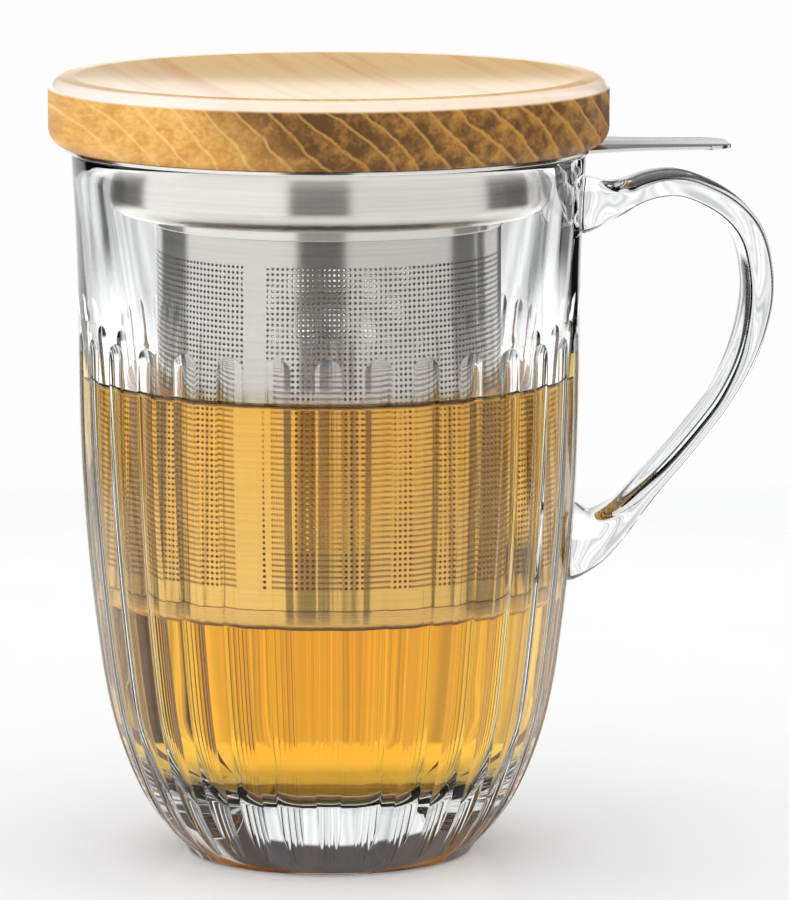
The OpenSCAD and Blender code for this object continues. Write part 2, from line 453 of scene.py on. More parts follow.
# places of the grid's columns: across a flute from edge to edge, and across the ridge beside it
across_flute = np.array([-1, -0.92, -0.7, -0.42, -0.14, 0.14, 0.42, 0.7, 0.92, 1])
across_ridge = np.array([0.07, 0.22, 0.4, 0.6, 0.78, 0.93])
print("flutes are", round(2 * full_half, 2), "mm wide")


def cutter_depth(z):
    """How deep the cutter's middle runs at a height: it runs out towards the foot."""
    run = np.clip((z - FLUTE_END) / (FLUTE_FULL - FLUTE_END), 0, 1)
    return FLUTE_DEPTH * run * (2 - run)


def flute_half(z):
    """Half the flute's width in mm at a height."""
    if z >= arch_z:
        return math.sqrt(max(full_half**2 - (z - arch_z) ** 2, 0))
    depth = cutter_depth(z)
    return math.sqrt(max(2 * CUTTER_R * depth - depth**2, 0))


def glass_ring(z, half=None):
    """One ring of the outer wall, dented by the flutes. half overrides the columns' spread."""
    radius = float(outside(z))
    spread = (half if half is not None else max(flute_half(z), NARROWEST)) / radius
    one = np.concatenate([across_flute * spread, spread + (FLUTE_PITCH - 2 * spread) * across_ridge])
    offset = np.where(one > FLUTE_PITCH / 2, FLUTE_PITCH - one, np.abs(one)) * radius
    rise = max(z - arch_z, 0)
    ball = np.sqrt(np.maximum(CUTTER_R**2 - offset**2 - rise**2, 0))
    dent = np.maximum(ball - CUTTER_R + cutter_depth(z), 0)
    slope = (float(outside(z + SLOPE_STEP)) - float(outside(z - SLOPE_STEP))) / (2 * SLOPE_STEP)
    lean = math.hypot(1, slope)
    angles = FLUTE_AZIMUTH + (np.arange(FLUTES)[:, None] * FLUTE_PITCH + one).ravel()
    dents = np.tile(dent, FLUTES)
    ring = circle(1, 0, angles) * (radius - dents / lean)[:, None]
    ring[:, 2] = z + dents * slope / lean
    return ring


# %% [markdown]
# ### The body's outline
#
# The wall runs from the foot ring up to the rim, over it, and down the drafted inside to a round
# corner and the floor. The inside wall is straight, so two rays give its line.

# %% Glass outline
BOWL_CORNER = 17.0
HIGH, LOW = 100, 50
down_ray = surfaces["glass_body"].ray_cast(Vector((0.002, 0.001, 0.05)), Vector((0, 0, -1)))
floor_z = down_ray[0].z / MM
draft = (reach("glass_body", HIGH, True) - reach("glass_body", LOW, True)) / (HIGH - LOW)
mouth_r = reach("glass_body", HIGH, True) + draft * (glass_top - HIGH)
foot_points = [v.co for v in frame["nodes"]["glass_body"].data.vertices if v.co.z < 0.00001]
foot_radii = [math.hypot(p.x, p.y) / MM for p in foot_points]
foot_in, foot_out = min(foot_radii), max(foot_radii)
# the punt is the shallow hollow under the foot
PUNT = 1.4
RIM_ROUND = 1.3


def inside(z):
    """Radius of the straight inside wall."""
    return mouth_r - draft * (glass_top - z)


under = rounded([
    (2, PUNT, 0),
    (foot_in - 3, PUNT, 4),
    (foot_in, 0, 1.2),
    (foot_out, 0, 0.9),
    (float(outside(1.7)), 1.7, 0),
])
over = rounded([
    (float(outside(glass_top - 2)), glass_top - 2, 0),
    (reach("glass_body", glass_top - 1.4), glass_top, RIM_ROUND),
    (mouth_r, glass_top, RIM_ROUND),
    (inside(glass_top - 4), glass_top - 4, 0),
], 5)
bowl = rounded([
    (inside(glass_top - 6), glass_top - 6, 0),
    (inside(floor_z), floor_z, BOWL_CORNER),
    (2, floor_z, 0),
], 22)
print("floor at", round(floor_z, 2), "foot ring", round(foot_in, 1), "to", round(foot_out, 1))

# %% [markdown]
# ### The body's mesh
#
# The rings are stacked in the outline's order: foot, fluted wall, rim, inside, floor. Under the
# foot, above the flutes and on the inside, the columns stay where the widest flute puts them, so that
# every ring has the same number of points and no column twists.

# %% Glass body mesh
GLASS_CREASE = 50
PLAIN_WALL = 95
# degrees up the round arch of a flute, closer together towards its top
ARCH_STEPS = (14, 27, 39, 50, 60, 69, 77, 83, 87)
# above the arches the columns spread out again: how far above, and half the width
SPREADING = ((0.25, 0.1), (0.8, 0.4), (1.6, 1.1))
even = glass_ring(PLAIN_WALL, full_half)
even_angles = np.arctan2(even[:, 1], even[:, 0])


def even_rings(outline):
    """Round rings whose points lie on the glass's columns."""
    return [circle(r, z, even_angles) for r, z in outline]


flute_heights = FLUTE_END + (arch_z - FLUTE_END) * np.linspace(0.02, 1, 62) ** 1.25
arch_heights = [arch_z + full_half * math.sin(math.radians(a)) for a in ARCH_STEPS]
wall_rings = [glass_ring(FLUTE_END - 0.5, 0.5), glass_ring(FLUTE_END)]
wall_rings += [glass_ring(z) for z in flute_heights]
wall_rings += [glass_ring(z) for z in arch_heights]
wall_rings += [glass_ring(FLUTE_TOP + rise, half) for rise, half in SPREADING]
wall_rings += [glass_ring(z, full_half) for z in np.linspace(FLUTE_TOP + 3, glass_top - 2.6, 14)]
inner_heights = np.linspace(glass_top - 6.5, bowl[1][1] + 1, 24)
inner_rings = [circle(inside(z), z, even_angles) for z in inner_heights]
rings = even_rings(under[:-1]) + wall_rings + even_rings(over) + inner_rings + even_rings(bowl[1:])
glass = skin("glass_mug", rings, (PUNT, floor_z), GLASS_CREASE)
print("glass body:", len(rings), "rings of", len(even))

# %% [markdown]
# ### The handle
#
# The CAD handle has flat facets. Its welded copy becomes a control cage: a Subdivision Surface
# turns the cage into a strap as smooth as drawn glass. The roots are pushed a little into the wall,
# so that they fill the flutes behind them, and a Boolean melts body and handle into one skin. Light
# then passes from one to the other with nothing between, as it does in real fused glass.

# %% Handle mesh
ROOT_DEPTH = 1.2
# a corner this near the wall belongs to a root
ROOT_REACH = 0.08


def smooth_handle():
    """The handle as a control cage under a Subdivision Surface, with its roots in the wall."""
    cage = bmesh.new()
    cage.from_mesh(frame["nodes"]["handle"].data)
    bmesh.ops.remove_doubles(cage, verts=cage.verts, dist=0.00001)
    bmesh.ops.join_triangles(
        cage,
        faces=cage.faces,
        angle_face_threshold=math.radians(40),
        angle_shape_threshold=math.radians(60),
    )
    for v in cage.verts:
        radius = math.hypot(v.co.x, v.co.y)
        if radius / MM < float(outside(v.co.z / MM)) + ROOT_REACH:
            shrink = 1 - ROOT_DEPTH * MM / radius
            v.co.x, v.co.y = v.co.x * shrink, v.co.y * shrink
    mesh = bpy.data.meshes.new("handle_cage")
    cage.to_mesh(mesh)
    cage.free()
    made = bpy.data.objects.new("handle_cage", mesh)
    bpy.context.scene.collection.objects.link(made)
    smooth = made.modifiers.new("smooth", "SUBSURF")
    smooth.levels = smooth.render_levels = 2
    return made


def evaluated(piece):
    """A copy of a piece's mesh with its modifiers applied."""
    depsgraph = bpy.context.evaluated_depsgraph_get()
    return bpy.data.meshes.new_from_object(piece.evaluated_get(depsgraph))


def melt(piece, other):
    """Unites another closed mesh with a piece and removes the other."""
    union = piece.modifiers.new("melt", "BOOLEAN")
    union.operation, union.solver, union.object = "UNION", "MANIFOLD", other
    united = evaluated(piece)
    piece.modifiers.clear()
    piece.data = united
    bpy.data.objects.remove(other)


melt(glass, smooth_handle())
finish_mesh(glass, GLASS_CREASE)
set_piece(glass, glass_finish, "mug", "glass", "glass_body", "handle")

# %% [markdown]
# ## The tea
#
# Tea is a body of liquid, so it is a closed mesh with a Volume Absorption node: thin layers look
# gold, deep ones orange. The mesh reaches a hair into the glass wall. A gap there would act as a
# film of air, and light would bounce off it instead of passing into the tea.

# %% Tea
TEA_LEVEL = 74.7
OVERLAP = 0.15
# the tea's edge climbs the glass by MENISCUS, in a curve that fades out over MENISCUS_W
MENISCUS = 1.3
MENISCUS_W = 0.8
DRIFT_DEPTH = 0.00001


def amber_tea(graph):
    """Clear amber liquid with a faint drift in its skin."""
    drift = graph.noise(graph.place(), 60, 1)
    inputs = {"Base Color": (1, 1, 1), "Roughness": 0.0, "IOR": 1.33}
    inputs.update({"Transmission Weight": 1.0, "Specular Tint": (0.05, 0.05, 0.05)})
    inputs["Normal"] = graph.bump(drift, DRIFT_DEPTH)
    graph.surface(inputs, {"Color": (0.985, 0.81, 0.02), "Density": 88.0})


tea_finish = material("amber_tea", amber_tea)
edge_r = inside(TEA_LEVEL + MENISCUS) + OVERLAP
from_edge = (0, 0.2, 0.4, 0.7, 1.1, 1.6, 2.4, 3.6, 6)
top_line = [(edge_r - d, TEA_LEVEL + MENISCUS * math.exp(-d / MENISCUS_W)) for d in from_edge]
side_line = [(inside(z) + OVERLAP, z) for z in np.linspace(TEA_LEVEL, bowl[1][1] + 2, 12)]
tea_floor = floor_z - OVERLAP
corner_line = rounded([
    (inside(50) + OVERLAP, 50, 0),
    (inside(floor_z) + OVERLAP, tea_floor, BOWL_CORNER),
    (2, tea_floor, 0),
], 22)[1:]
tea_line = top_line[::-1] + side_line + list(corner_line)
tea = turned("tea", tea_line, 256, (TEA_LEVEL, tea_floor), 60)
set_piece(tea, tea_finish, "mug", "tea")

# %% [markdown]
# ## Brushed steel
#
# Steel that was brushed round its axis has hair-fine rings. They smear a reflection up and down but
# hardly sideways, which is why the steel shows upright bands. The shader's anisotropy does the
# smearing, turned a quarter so that it runs across the rings, and a noise squeezed along the axis
# draws the rings themselves.
#
# Steel seen through tea looks amber, but the tea here is clear enough to glow, and by itself it
# leaves the steel inside it too grey. So the basket has painted light below the tea's level: an
# amber tint that stands in for the light the tea passes to it. That is a trick for the mug at rest
# and not a finish that the real steel has: the painted tint is part of the basket, and with the
# infuser lifted out its lower half looks like brass.

# %% Steel finish
BRUSH_DEPTH = 0.000003
# the darker tone of a brushed surface, as a share of the paler one
BRUSH_SHADE = 0.9
# the painted amber light fades in over this much above and below the tea's level
TINT_EDGE = 0.3


def brushed(tint, rough, tea_light_paint=None):
    """A builder for brushed steel. Its third argument is a painted amber tint for below the tea's
    level, or None.
    """

    def build(graph):
        lines = graph.noise(graph.place((12, 12, 2600)), 1, 4, 0.7)
        clouds = graph.noise(graph.place((1, 1, 2)), 55, 2)
        shade = (lines * 0.7 + clouds * 0.3).ramp(0.3, 0.7)

        def streaked(pale):
            """A colour that follows the brushed lines between its two tones."""
            return graph.mix(shade, [c * BRUSH_SHADE for c in pale], pale)

        colour = streaked(tint)
        # below the tea's level the steel gets painted amber light
        if tea_light_paint:
            points = graph.node("ShaderNodeTexCoord", output="Object")
            height = graph.node("ShaderNodeSeparateXYZ", {}, {0: points}, "Z") * 1000
            below = 1 - height.ramp(TEA_LEVEL - TINT_EDGE, TEA_LEVEL + TINT_EDGE)
            colour = graph.mix(below, colour, streaked(tea_light_paint))
        inputs = {
            "Base Color": colour,
            "Metallic": 1.0,
            "Roughness": lines * 0.08 + rough,
            "Anisotropic": 0.85,
            "Anisotropic Rotation": 0.25,
            "Normal": graph.bump(lines, BRUSH_DEPTH),
        }
        graph.surface(inputs)

    return build


BRIGHT, GREY, SATIN = (0.88, 0.855, 0.805), (0.71, 0.69, 0.645), (0.85, 0.825, 0.78)
# painted amber light for the steel below the tea's level
MESH_TEA_LIGHT_PAINT = (0.98, 0.65, 0.22)
CUP_TEA_LIGHT_PAINT = (0.99, 0.63, 0.22)
steel_finish = material("brushed_steel", brushed(BRIGHT, 0.16))
mesh_finish = material("brushed_mesh_steel", brushed(GREY, 0.17, MESH_TEA_LIGHT_PAINT))
cup_finish = material("steel_with_painted_tea_light", brushed(SATIN, 0.24, CUP_TEA_LIGHT_PAINT))

# %% [markdown]
# ## The collar and its tab
#
# One sheet makes the flange, the collar's wall, the shoulder and the neck, and the lifting tab is
# left standing out of the flange. So the rings start as the outline of flange and tab seen from
# above, taken from the CAD node's own corners, and turn into plain circles further in.

# %% Collar outline
SHEET = 0.6
EDGE_ROUND = 0.15
COLLAR_SIDES = 240
# only the tab's corners lie this far beyond the flange
TAB_BEYOND = 0.6
collar_low, collar_high = span("infuser_collar")
flange_top = collar_high[2]
flange_r = -collar_low[0]
collar_corners = [v.co / MM for v in frame["nodes"]["infuser_collar"].data.vertices]


def tab_corners():
    """The tab's corners beyond the flange, in order of their angle."""
    limit = flange_r + TAB_BEYOND
    beyond = [p for p in collar_corners if math.hypot(p.x, p.y) > limit and p.x > 0]
    far = {(round(p.x, 2), round(p.y, 2)) for p in beyond}
    return sorted(far, key=lambda p: math.atan2(p[1], p[0]))


def sheet_outline():
    """Flange and tab seen from above. A Catmull-Rom curve smooths the line round the tab."""
    tab = np.array(tab_corners())
    root = math.asin(min(tab[-1][1] * 1.12 / flange_r, 0.5))
    round_part = circle(flange_r, 0, np.linspace(root, 2 * math.pi - root, COLLAR_SIDES))[:, :2]
    line = np.vstack([round_part, tab])
    smooth = []
    count = len(line)
    for i in range(len(round_part) - 1, count):
        a, b, c, d = (line[(i + k) % count] for k in (-1, 0, 1, 2))
        bend, twist = 2 * a - 5 * b + 4 * c - d, 3 * b - a - 3 * c + d
        for t in (0, 0.25, 0.5, 0.75):
            smooth.append(0.5 * (2 * b + (c - a) * t + bend * t**2 + twist * t**3))
    return np.vstack([round_part[:-1], smooth])


outline = sheet_outline()
along = np.roll(outline, -1, 0) - np.roll(outline, 1, 0)
outward = np.stack([along[:, 1], -along[:, 0]], 1) / np.linalg.norm(along, axis=1)[:, None]
outline_angles = np.arctan2(outline[:, 1], outline[:, 0])
print("the sheet's outline has", len(outline), "points")

# %% [markdown]
# ### The collar's section
#
# Seen in section, the sheet runs from the flange down the collar's wall, over the shoulder and down
# the neck, and then all the way back on its outside. The bends have the large radii that a press
# leaves, and the flange's own edge has a small round that catches a line of light.

# %% Collar mesh
COLLAR_DEPTH = 9.5
collar_r = reach("infuser_collar", flange_top - 5)
neck_out = reach("infuser_collar", collar_low[2] + 1)
neck_in = neck_out - SHEET
flange_under = flange_top - SHEET
shoulder = flange_under - COLLAR_DEPTH


def sheet_ring(inset, z):
    """A ring of flange and tab, drawn in from the outline by inset."""
    xy = outline - outward * inset
    return np.column_stack([xy, np.full(len(xy), z)])


EDGE_HALF_WAY = 0.04
edge = [
    (EDGE_ROUND, flange_under),
    (EDGE_HALF_WAY, flange_under + EDGE_HALF_WAY),
    (0, flange_under + EDGE_ROUND),
    (0, flange_top - EDGE_ROUND),
    (EDGE_HALF_WAY, flange_top - EDGE_HALF_WAY),
    (EDGE_ROUND, flange_top),
]
across_sheet = rounded([
    (flange_r - 1.2, flange_top, 0),
    (collar_r - SHEET, flange_top, 0.9),
    (collar_r - SHEET, shoulder + SHEET, 2.6),
    (neck_in, shoulder + SHEET, 0.4),
    (neck_in, collar_low[2], 0.15),
    (neck_out, collar_low[2], 0.15),
    (neck_out, shoulder, 0.5),
    (collar_r, shoulder, 3.2),
    (collar_r, flange_under, 0.3),
    (flange_r - 1.2, flange_under, 0),
], 6)
collar_rings = [sheet_ring(inset, z) for inset, z in edge]
collar_rings += [circle(r, z, outline_angles) for r, z in across_sheet]
collar = skin("collar_and_tab", collar_rings)
set_piece(collar, steel_finish, "infuser", "steel", "infuser_collar")

# %% [markdown]
# ## The basket
#
# The tube is photo-etched sheet: a square grid of round holes, rolled up and welded along one plain
# strip. Real holes matter here, because light that falls through two of them at once makes the
# sparkle in the grid. Each cell of the grid is a square with an eight-sided hole. All the points on
# the squares lie on one lattice, so that neighbours share them and the sheet stays closed.
#
# The tube is made as four bands, one above the other, so that no piece grows too heavy.

# %% Basket lattice
HOLE_R = 0.25
HOLE_COLUMNS = 218
HOLE_ROWS = 57
STRIP_AZIMUTH = math.radians(-117.2)
STRIP_W = 3.4
HOLES_LOW = 46.65
HOLES_HIGH = 96.05
TUBE_WALL = 0.4
tube_low, tube_high = span("basket_wall")
tube_r = reach("basket_wall", 60)
tube_length = 2 * math.pi * tube_r
column_w = (tube_length - STRIP_W) / HOLE_COLUMNS
row_h = (HOLES_HIGH - HOLES_LOW) / HOLE_ROWS
# the eight points of a cell's square and of its hole, counter-clockwise from the right
square = [(1, 0), (1, 1), (0, 1), (-1, 1), (-1, 0), (-1, -1), (0, -1), (1, -1)]
print("holes:", HOLE_COLUMNS * HOLE_ROWS, "pitch", round(column_w, 3), "by", round(row_h, 3))


def tube_band(name, first_row, last_row, low_z, high_z):
    """A band of the tube with its holes and its plain parts, closed at both ends."""
    # u runs round the tube in mm: first over the holes, then over the plain strip
    strip_cells = 4
    u_lattice = np.arange(2 * HOLE_COLUMNS + 1) * column_w / 2
    u_strip = u_lattice[-1] + STRIP_W * np.arange(1, strip_cells) / strip_cells
    u = np.concatenate([u_lattice, u_strip])
    z_holes = HOLES_LOW + np.arange(2 * first_row, 2 * last_row + 1) * row_h / 2
    plain_below = np.linspace(low_z, z_holes[0], 3)[:-1] if low_z < z_holes[0] - 0.01 else []
    plain_above = np.linspace(z_holes[-1], high_z, 4)[1:] if high_z > z_holes[-1] + 0.01 else []
    z = np.concatenate([plain_below, z_holes, plain_above])
    holes_from = int(np.argmin(np.abs(z - z_holes[0])))
    columns_around, heights = len(u), len(z)
    angles = STRIP_AZIMUTH + (u + STRIP_W / 2) / tube_r
    grid = np.arange(heights * columns_around).reshape(heights, columns_around)
    flat = np.array([(a, h) for h in z for a in angles])
    rows, cols = np.meshgrid(np.arange(last_row - first_row), np.arange(HOLE_COLUMNS), indexing="ij")
    rows, cols = rows.ravel() * 2 + 1 + holes_from, cols.ravel() * 2 + 1
    middle_a, middle_z = angles[cols], z[rows]
    corners = np.stack([grid[rows + dz, cols + du] for du, dz in square], 1)
    turns = np.arange(len(square)) * 2 * math.pi / len(square)
    hole_a = middle_a[:, None] + HOLE_R * np.cos(turns) / tube_r
    hole_z = middle_z[:, None] + HOLE_R * np.sin(turns)
    hole_flat = np.stack([hole_a.ravel(), hole_z.ravel()], 1)
    holes = len(flat) + np.arange(len(hole_flat)).reshape(-1, len(square))
    flat = np.vstack([flat, hole_flat])
    outer = np.column_stack([tube_r * np.cos(flat[:, 0]), tube_r * np.sin(flat[:, 0]), flat[:, 1]])
    shrink = (tube_r - TUBE_WALL) / tube_r
    points = np.vstack([outer, outer * [shrink, shrink, 1]])
    other = len(flat)
    ring = np.stack([corners, np.roll(corners, -1, 1), np.roll(holes, -1, 1), holes], -1).reshape(-1, 4)
    bore = np.stack([holes, np.roll(holes, -1, 1), np.roll(holes, -1, 1) + other, holes + other], -1)
    plain = []
    for i in range(heights - 1):
        in_holes = holes_from <= i < holes_from + 2 * (last_row - first_row)
        start = 2 * HOLE_COLUMNS if in_holes else 0
        j = np.arange(start, columns_around)
        n = (j + 1) % columns_around
        plain.append(np.stack([grid[i, j], grid[i, n], grid[i + 1, n], grid[i + 1, j]], 1))
    sheet = np.vstack([ring] + plain)
    j, n = np.arange(columns_around), (np.arange(columns_around) + 1) % columns_around
    foot = np.stack([grid[0, n], grid[0, j], grid[0, j] + other, grid[0, n] + other], 1)
    head = np.stack([grid[-1, j], grid[-1, n], grid[-1, n] + other, grid[-1, j] + other], 1)
    faces = np.vstack([sheet, sheet[:, ::-1] + other, bore.reshape(-1, 4), foot, head])
    # corners that no face uses are left out
    used = np.unique(faces)
    renumber = np.zeros(len(points), int)
    renumber[used] = np.arange(len(used))
    return mesh_object(name, points[used], renumber[faces].tolist(), crease=30)


# %% [markdown]
# ### Four bands
#
# The bands meet between two rows of holes, so a seam falls on plain sheet. The lowest and the
# topmost band also carry the tube's plain ends.

# %% Basket bands
band_rows = [0, 15, 30, 44, HOLE_ROWS]
bands = ["basket_lowest", "basket_lower", "basket_upper", "basket_topmost"]
for i, name in enumerate(bands):
    low = tube_low[2] if i == 0 else HOLES_LOW + band_rows[i] * row_h
    high = tube_high[2] if name == bands[-1] else HOLES_LOW + band_rows[i + 1] * row_h
    band = tube_band(name, band_rows[i], band_rows[i + 1], low, high)
    set_piece(band, mesh_finish, "infuser", "perforated_steel", "basket_wall")

# %% [markdown]
# ### The basket's floor
#
# A shallow cup closes the tube from outside. Its bottom edge is pressed round, and its rim shows
# as a fine seam above it.

# %% Base cup
base_low, base_high = span("basket_base")
base_r = base_high[0]
cup = rounded([
    (2, base_low[2], 0),
    (base_r, base_low[2], 1.1),
    (base_r, base_high[2], 0.12),
    (base_r - TUBE_WALL, base_high[2], 0.12),
    (base_r - TUBE_WALL, base_low[2] + SHEET, 0.5),
    (2, base_low[2] + SHEET, 0),
], 7)
base = turned("basket_floor", cup, 192, (base_low[2], base_low[2] + SHEET))
set_piece(base, cup_finish, "infuser", "steel", "basket_base")

# %% [markdown]
# ## The wooden lid
#
# The lid is turned from one board of acacia-like wood. Its fibres run level, from the back to the
# front and a little to the right. So the front of the rim shows end grain, where the growth rings
# come out as slanting lines, and its far left and far right show long grain.
#
# The rings are planes here, since a small piece of a large tree has nearly flat rings. One
# coordinate runs along the fibres, one along the planes and one across them. Noise that is
# stretched along the fibres makes streaks, and the fraction of a coordinate across the planes,
# which starts again each year, makes the rings. The surface's own direction tells the side from the
# face. The side is dark, partly because cut fibres soak up the oil and partly as painted shade, and
# the face is pale, partly as painted light from above, and glossy.

# %% Wood finish
FIBRE_TURN = 82.0
RING_TILT = 45.0
RING_GAP = 3.4
# the growth rings are counted from this height on the axis
RINGS_FROM = 118.0
# pairs of tones, the paler one first
SAPWOOD = (0.91, 0.52, 0.135), (0.65, 0.29, 0.047)
HEARTWOOD = (0.52, 0.24, 0.04), (0.13, 0.053, 0.007)
# the face's tones are paler than the side's, partly as painted light from above
SAPWOOD_FACE_LIT = (1.0, 0.74, 0.40), (0.98, 0.56, 0.24)
HEARTWOOD_FACE_LIT = (1.0, 0.64, 0.22), (0.90, 0.42, 0.10)
# the thin line that closes a year, in sapwood and in heartwood
YEAR_LINE = (0.98, 0.66, 0.25), (0.62, 0.34, 0.07)
# a painted highlight for the turned edge of the face
PAINTED_EDGE_HIGHLIGHT = (0.96, 0.85, 0.76)
GRAIN_DEPTH = 0.000006


def honey_wood(graph):
    """Oiled wood with growth rings, for a piece that is turned from a level board."""
    # turned so that X runs along the fibres and Z across the growth rings
    fibre = graph.place(turn=(0, 0, FIBRE_TURN))
    tilt = {"Vector": fibre, "Rotation": (math.radians(RING_TILT), 0, 0)}
    board = graph.node("ShaderNodeVectorRotate", {"rotation_type": "EULER_XYZ"}, tilt)

    def stretched(along, across_planes, across_rings):
        """The board's points, scaled along the fibres and in the two directions across them."""
        scale = {0: board, 1: (along, across_planes, across_rings)}
        return graph.node("ShaderNodeVectorMath", {"operation": "MULTIPLY"}, scale)

    def part(vector, axis):
        return graph.node("ShaderNodeSeparateXYZ", {}, {0: vector}, axis)

    bend = graph.noise(stretched(6, 70, 70), 1, 3)
    clumps = graph.noise(stretched(30, 420, 420), 1, 3, 0.6)
    grain = graph.noise(stretched(90, 1500, 1500), 1, 3, 0.65)
    streaks = graph.noise(stretched(6, 330, 330), 1, 4, 0.6)

    # growth rings: a thin pale line closes each year
    depth = part(board, "Z") * 1000 - math.sin(math.radians(RING_TILT)) * RINGS_FROM
    age = (depth + bend * 5 + clumps * 0.35 + grain * 0.2) / RING_GAP
    year = graph.node("ShaderNodeMath", {"operation": "FRACT"}, {0: age})
    pale_line = year.ramp(0.8, 0.9) * (1 - year.ramp(0.92, 0.99))
    heart = (depth + bend * 4 + streaks * 4).ramp(-17.5, -4.5)
    facing = part(graph.node("ShaderNodeNewGeometry", output="Normal"), "Z")
    upward = facing.ramp(0.08, 0.3)
    turned_edge = upward * (1 - facing.ramp(0.93, 0.999))

    # the side: gold sapwood, then brown heartwood with dark clumps and pale lines
    shade = (clumps * 0.45 + bend * 0.2 + grain * 0.35).ramp(0.34, 0.64)
    sapwood = graph.mix(shade, *SAPWOOD)
    young = 1 - depth.ramp(-10, 8)
    dark_year = (clumps * 0.7 + grain * 0.3 + (1 - year) * 0.14 + young * 0.08 - 0.05).ramp(0.3, 0.68)
    brown = graph.mix(dark_year, *HEARTWOOD)
    lined_sapwood = graph.mix(pale_line * 0.45, sapwood, YEAR_LINE[0])
    lined_brown = graph.mix(pale_line * clumps.ramp(0.3, 0.6) * 0.65, brown, YEAR_LINE[1])
    side = graph.mix(heart, lined_sapwood, lined_brown)

    # the face, paler than the side partly as painted light from above: fine streaks along the fibres,
    # darkest where the heartwood begins, and a painted highlight round the turned edge
    border = heart * (1 - heart) * 4
    dark_streak = (streaks * 0.8 + border * 0.18 + (1 - year) * 0.1).ramp(0.4, 0.66)
    face = graph.mix(dark_streak, *HEARTWOOD_FACE_LIT)
    pale_face = graph.mix(streaks.ramp(0.3, 0.7), *SAPWOOD_FACE_LIT)
    board_face = graph.mix(heart, pale_face, face)
    top = graph.mix(turned_edge * (1 - heart * 0.2), board_face, PAINTED_EDGE_HIGHLIGHT)
    # the face's paler tones over the side's carry painted light from above
    graph.surface({
        "Base Color": graph.mix(upward, side, top),
        "Roughness": streaks * 0.05 - upward * 0.38 + 0.46,
        "IOR": 1.42,
        "Normal": graph.bump(streaks * 0.5 + grain * 0.5, GRAIN_DEPTH),
    })


wood_finish = material("honey_wood", honey_wood)

# %% [markdown]
# ### The lid's outline
#
# Face and underside have the soft corners of a sanded disc. Inside the turned edge the face sinks
# by less than a millimetre, which bends its reflections a little. The spigot has a groove for the
# seal.

# %% Lid mesh
lid_low, lid_high = span("lid")
lid_r = lid_high[0]
lid_under = flange_top
spigot_r = reach("lid", lid_low[2] + 1)
seal_low, seal_high = span("lid_seal")
seal_in = reach("lid", (seal_low[2] + seal_high[2]) / 2)
DISH = 0.8
EDGE_BAND = 4.2
UNDER_ROUND = 3.1
FACE_ROUND = 2.2
GROOVE_ROUND = 0.1
dish_r = lid_r - EDGE_BAND
dish_radii = [dish_r - d for d in (1.5, 4, 8, 14, 21, 28, 35)]
dish_line = [(r, lid_high[2] - DISH * (1 - (r / dish_r) ** 2), 0) for r in dish_radii]
lid_line = rounded([
    (2, lid_low[2], 0),
    (spigot_r, lid_low[2], 0.8),
    (spigot_r, seal_low[2], GROOVE_ROUND),
    (seal_in, seal_low[2], GROOVE_ROUND),
    (seal_in, seal_high[2], GROOVE_ROUND),
    (spigot_r, seal_high[2], GROOVE_ROUND),
    (spigot_r, lid_under, 0.3),
    (lid_r, lid_under, UNDER_ROUND),
    (lid_r, lid_high[2], FACE_ROUND),
    (dish_r, lid_high[2], 1),
] + dish_line, 8)
lid = turned("wooden_lid", lid_line, 256, (lid_low[2], lid_high[2] - DISH), 40)
set_piece(lid, wood_finish, "lid", "wood", "lid")

# %% [markdown]
# ## The seal
#
# The seal's CAD shape is right as it is, so it keeps it and gets a finish: silicone is a little
# translucent, and its satin skin has a fine, even grain.

# %% Seal finish
SKIN_DEPTH = 0.00001


def silicone(graph):
    """Translucent white rubber with a satin skin."""
    grain = graph.noise(graph.place(), 2200, 2)
    graph.surface({
        "Base Color": graph.mix(grain, (0.78, 0.78, 0.75), (0.86, 0.86, 0.83)),
        "Roughness": grain * 0.1 + 0.45,
        "Subsurface Weight": 0.3,
        "Normal": graph.bump(grain, SKIN_DEPTH),
    })


seal = frame["nodes"]["lid_seal"]
seal.data.materials.clear()
seal.data.materials.append(material("silicone", silicone))
print("the seal keeps its CAD shape:", len(seal.data.polygons), "faces")

# %% [markdown]
# ## The table
#
# The table is a pale, faintly glossy disc. Towards its edge it fades out into the white of the
# studio, so that it shows a contact shadow and a soft reflection but no edge of its own.
#
# A Light Path node tells which rays came through the glass. Those see the table a little darker in
# front of the mug, which keeps the steel's dark bands dark, and brighter behind it, where the glass
# shows it as part of its bright background.

# %% Table
TABLE_R = 400.0
# metres from the axis over which the table fades out
FADE = (0.25, 0.36)


def pale_table(graph):
    """A pale, faintly glossy table top."""
    points = graph.node("ShaderNodeTexCoord", output="Object")
    mottle = graph.noise(points, 30, 2)
    away = graph.node("ShaderNodeVectorMath", {"operation": "LENGTH"}, {0: points}, "Value")
    seen = graph.node("ShaderNodeLightPath", output="Is Camera Ray")
    through = graph.node("ShaderNodeLightPath", output="Is Transmission Ray")
    backwards = graph.node("ShaderNodeSeparateXYZ", {}, {0: points}, "Y")
    front = through * (1 - backwards.ramp(-0.05, -0.02))
    behind = through * backwards.ramp(0.03, 0.12)
    pale = graph.mix(mottle, (0.93, 0.93, 0.935), (0.95, 0.95, 0.955))
    glow = graph.mix(seen, (0, 0, 0), (0.13, 0.13, 0.13))
    graph.surface({
        "Base Color": graph.mix(front, pale, (0.8, 0.8, 0.79)),
        "Roughness": mottle * 0.04 + 0.2,
        "IOR": 1.25,
        "Alpha": 1 - away.ramp(*FADE),
        "Emission Color": graph.mix(behind, glow, (0.36, 0.36, 0.36)),
        "Emission Strength": 1.0,
    })


